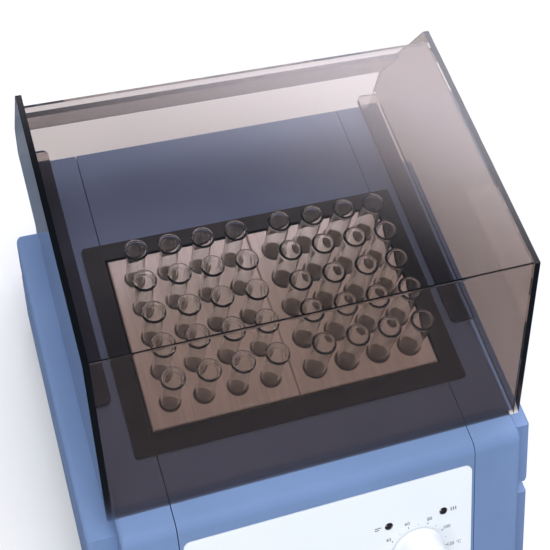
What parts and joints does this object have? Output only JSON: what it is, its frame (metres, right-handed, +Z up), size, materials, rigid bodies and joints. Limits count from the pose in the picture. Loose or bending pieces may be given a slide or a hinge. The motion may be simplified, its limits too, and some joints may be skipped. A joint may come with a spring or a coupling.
{
  "type": "dry block heater",
  "caption": "Bench heater with two drilled aluminium blocks of test tubes under a lift-off smoked cover, and a sloping panel with a temperature knob.",
  "frame": {"origin": "on the bench, under the middle of the whole object", "axes": "+Z up, -Y towards the sloping control panel, +X to the right of a person facing it"},
  "size_m": [0.237, 0.2884, 0.191],
  "materials": {
    "painted_blue": "satin textured paint",
    "white_fascia": "satin printed film",
    "black_surround": "satin",
    "block_aluminium": "milled",
    "silicone": "matt",
    "insulation": "fibrous",
    "bare_steel": "zinc plated",
    "tube_glass": "clear",
    "lamp_lens": "gloss",
    "white_knob": "satin",
    "pointer_grey": "matt",
    "black_moulding": "satin",
    "pin_brass": "plated",
    "screw_steel": "plated",
    "board_green": "solder mask",
    "core_iron": "varnished",
    "terminal_plastic": "matt",
    "foot_rubber": "matt",
    "smoked_acrylic": "polished"
  },
  "bodies": {
    "housing": {"base_tray": "painted_blue", "side_casing_left": "painted_blue", "side_casing_right": "painted_blue", "side_cheek_left": "painted_blue", "side_cheek_right": "painted_blue", "side_skirt_left": "painted_blue", "side_skirt_right": "painted_blue", "front_bezel": "painted_blue", "rear_deck_panel": "painted_blue", "rear_panel": "painted_blue", "fascia": "white_fascia", "well_surround": "black_surround", "block_left": "block_aluminium", "block_right": "block_aluminium", "heater_plate": "block_aluminium", "heating_mat": "silicone", "insulation_pad": "insulation", "insulation_collar": "insulation", "heat_shield_pan": "bare_steel", "temperature_probe": "bare_steel", "thermal_cutout": "bare_steel", "indicator_lamps": "lamp_lens", "potentiometer": "bare_steel", "potentiometer_nut": "bare_steel", "mains_inlet": "black_moulding", "inlet_pins": "pin_brass", "power_switch": "black_moulding", "earth_terminal": "pin_brass", "control_board": "board_green", "board_standoffs": "pin_brass", "board_screws": "screw_steel", "transformer": "core_iron", "triac_heatsink": "block_aluminium", "triac": "black_moulding", "terminal_strip": "terminal_plastic", "rubber_feet": "foot_rubber", "casing_screws": "screw_steel", "wing_screws": "screw_steel", "pan_screws": "screw_steel", "rear_panel_screws": "screw_steel", "inlet_screws": "screw_steel"},
    "cover": {"cover_side_left": "smoked_acrylic", "cover_side_right": "smoked_acrylic", "cover_top_front": "smoked_acrylic", "cover_rear_strip": "smoked_acrylic", "cover_runner_left": "smoked_acrylic", "cover_runner_right": "smoked_acrylic"},
    "knob": {"temperature_knob": "white_knob", "knob_pointer": "pointer_grey", "knob_shaft": "bare_steel"},
    "rocker": {"switch_rocker": "black_moulding", "rocker_pin": "bare_steel"},
    "drawer": {"fuse_drawer": "black_moulding", "fuse": "tube_glass"},
    "left_tubes": {"tubes_left": "tube_glass"},
    "right_tubes": {"tubes_right": "tube_glass"}
  },
  "joints": [
    {"name": "cover_lift", "type": "slide", "parent": "housing", "child": "cover", "axis": [0, 0, 1], "range_m": [0, 0.12]},
    {"name": "knob_turn", "type": "hinge", "parent": "housing", "child": "knob", "pos_m": [0.0445, -0.11328, 0.06326], "axis": [0, -0.8135, 0.5815], "range_deg": [-135, 135]},
    {"name": "rocker_tilt", "type": "hinge", "parent": "housing", "child": "rocker", "pos_m": [-0.02, 0.1302, 0.054], "axis": [-1, 0, 0], "range_deg": [0, 16]},
    {"name": "drawer_slide", "type": "slide", "parent": "housing", "child": "drawer", "axis": [0, 1, 0], "range_m": [0, 0.02]},
    {"name": "left_tubes_lift", "type": "slide", "parent": "housing", "child": "left_tubes", "axis": [0, 0, 1], "range_m": [0, 0.045]},
    {"name": "right_tubes_lift", "type": "slide", "parent": "housing", "child": "right_tubes", "axis": [0, 0, 1], "range_m": [0, 0.045]}
  ]
}
